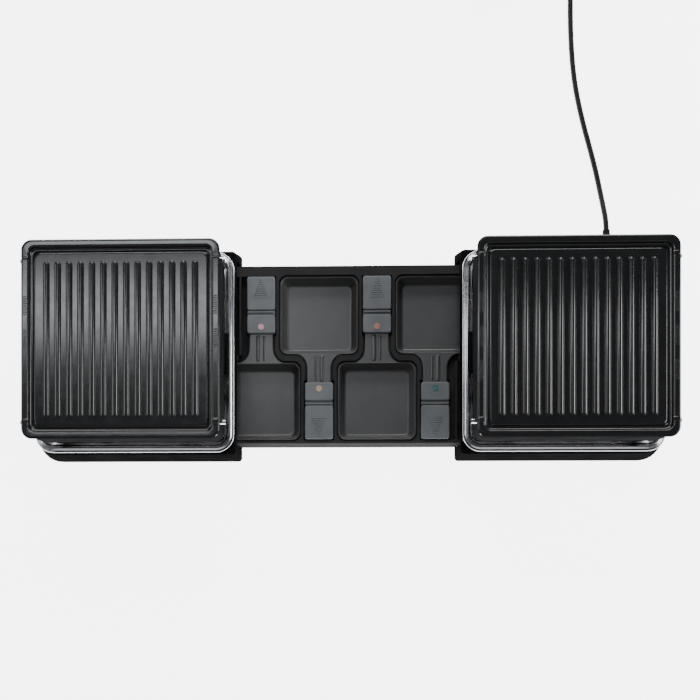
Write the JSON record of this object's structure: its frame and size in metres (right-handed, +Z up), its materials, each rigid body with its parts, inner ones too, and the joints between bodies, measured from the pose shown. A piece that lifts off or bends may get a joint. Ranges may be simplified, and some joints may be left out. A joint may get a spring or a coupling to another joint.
{
  "type": "raclette grill",
  "caption": "Extendable double raclette grill: two square ribbed grill plates over heaters on black bases that slide along a centre tray of small square pans, with a power cord.",
  "frame": {"origin": "on the table, under the middle of the centre tray, midway between the two units", "axes": "+X from the left unit to the right unit, +Y to the back where the cord leaves, +Z up"},
  "size_m": [0.7113, 0.6203, 0.118],
  "materials": {
    "tray_plastic": "dark grey, satin",
    "base_plastic": "black, satin",
    "cover_plastic": "black, matt",
    "rubber_black": "matt",
    "screw_steel": "zinc plated",
    "chrome_sheet": "polished",
    "chrome_rod": "polished",
    "frame_steel": "satin grey",
    "element_steel": "heat-tinted",
    "ceramic": "matt, off-white",
    "plate_coating": "black non-stick coating on cast aluminium",
    "pan_coating": "dark grey non-stick coating",
    "handle_plastic": "grey, satin",
    "marker_1": "pink",
    "marker_2": "beige",
    "marker_3": "salmon",
    "marker_4": "teal",
    "switch_plastic": "black",
    "cord_black": "matt",
    "plug_plastic": "black",
    "plug_metal": "nickel plated"
  },
  "bodies": {
    "tray": {"centre_tray": "tray_plastic"},
    "left_unit": {"left_base_shell": "base_plastic", "left_bottom_cover": "cover_plastic", "left_rubber_feet": "rubber_black", "left_cover_screws": "screw_steel", "left_reflector": "chrome_sheet", "left_heater_frame": "frame_steel", "left_frame_brackets": "frame_steel", "left_bracket_screws": "screw_steel", "left_rest_rods": "chrome_rod", "left_element_straps": "frame_steel", "left_heating_element": "element_steel", "left_terminal_block": "ceramic", "left_thermal_cutout": "ceramic"},
    "left_plate": {"left_grill_plate": "plate_coating"},
    "right_unit": {"right_base_shell": "base_plastic", "right_bottom_cover": "cover_plastic", "right_rubber_feet": "rubber_black", "right_cover_screws": "screw_steel", "right_reflector": "chrome_sheet", "right_heater_frame": "frame_steel", "right_frame_brackets": "frame_steel", "right_bracket_screws": "screw_steel", "right_rest_rods": "chrome_rod", "right_element_straps": "frame_steel", "right_heating_element": "element_steel", "right_terminal_block": "ceramic", "right_thermal_cutout": "ceramic", "switch_housing": "switch_plastic", "inner_lead": "cord_black", "cord_gland": "rubber_black", "power_cord": "cord_black", "cord_coil": "cord_black", "plug_lead": "cord_black", "cord_tie": "rubber_black", "plug_body": "plug_plastic", "plug_pins": "plug_metal"},
    "right_plate": {"right_grill_plate": "plate_coating"},
    "switch_rocker_body": {"switch_rocker": "switch_plastic"},
    "raclette_pan_1": {"pan_1": "pan_coating", "handle_1": "handle_plastic", "marker_1": "marker_1"},
    "raclette_pan_2": {"pan_2": "pan_coating", "handle_2": "handle_plastic", "marker_2": "marker_2"},
    "raclette_pan_3": {"pan_3": "pan_coating", "handle_3": "handle_plastic", "marker_3": "marker_3"},
    "raclette_pan_4": {"pan_4": "pan_coating", "handle_4": "handle_plastic", "marker_4": "marker_4"}
  },
  "joints": [
    {"name": "left_unit_slide", "type": "slide", "parent": "tray", "child": "left_unit", "axis": [1, 0, 0], "range_m": [0, 0.12]},
    {"name": "right_unit_slide", "type": "slide", "parent": "tray", "child": "right_unit", "axis": [-1, 0, 0], "range_m": [0, 0.12]},
    {"name": "left_plate_lift", "type": "slide", "parent": "left_unit", "child": "left_plate", "axis": [0, 0, 1], "range_m": [0, 0.06]},
    {"name": "right_plate_lift", "type": "slide", "parent": "right_unit", "child": "right_plate", "axis": [0, 0, 1], "range_m": [0, 0.06]},
    {"name": "pan_1_tilt", "type": "hinge", "parent": "tray", "child": "raclette_pan_1", "pos_m": [-0.1347, -0.052, 0.0052], "axis": [0, 1, 0], "range_deg": [-12, 0]},
    {"name": "pan_2_lift", "type": "slide", "parent": "tray", "child": "raclette_pan_2", "axis": [0, 0, -1], "range_m": [-0.06, 0]},
    {"name": "pan_3_lift", "type": "slide", "parent": "tray", "child": "raclette_pan_3", "axis": [0, 0, -1], "range_m": [-0.06, 0]},
    {"name": "pan_4_tilt", "type": "hinge", "parent": "tray", "child": "raclette_pan_4", "pos_m": [0.1347, 0.0445, 0.0052], "axis": [0, -1, 0], "range_deg": [-12, 0]},
    {"name": "switch_rock", "type": "hinge", "parent": "right_unit", "child": "switch_rocker_body", "pos_m": [0.35118, -0.06, 0.01465], "axis": [-0.1574, 0, 0.9875], "range_deg": [0, 12]}
  ]
}
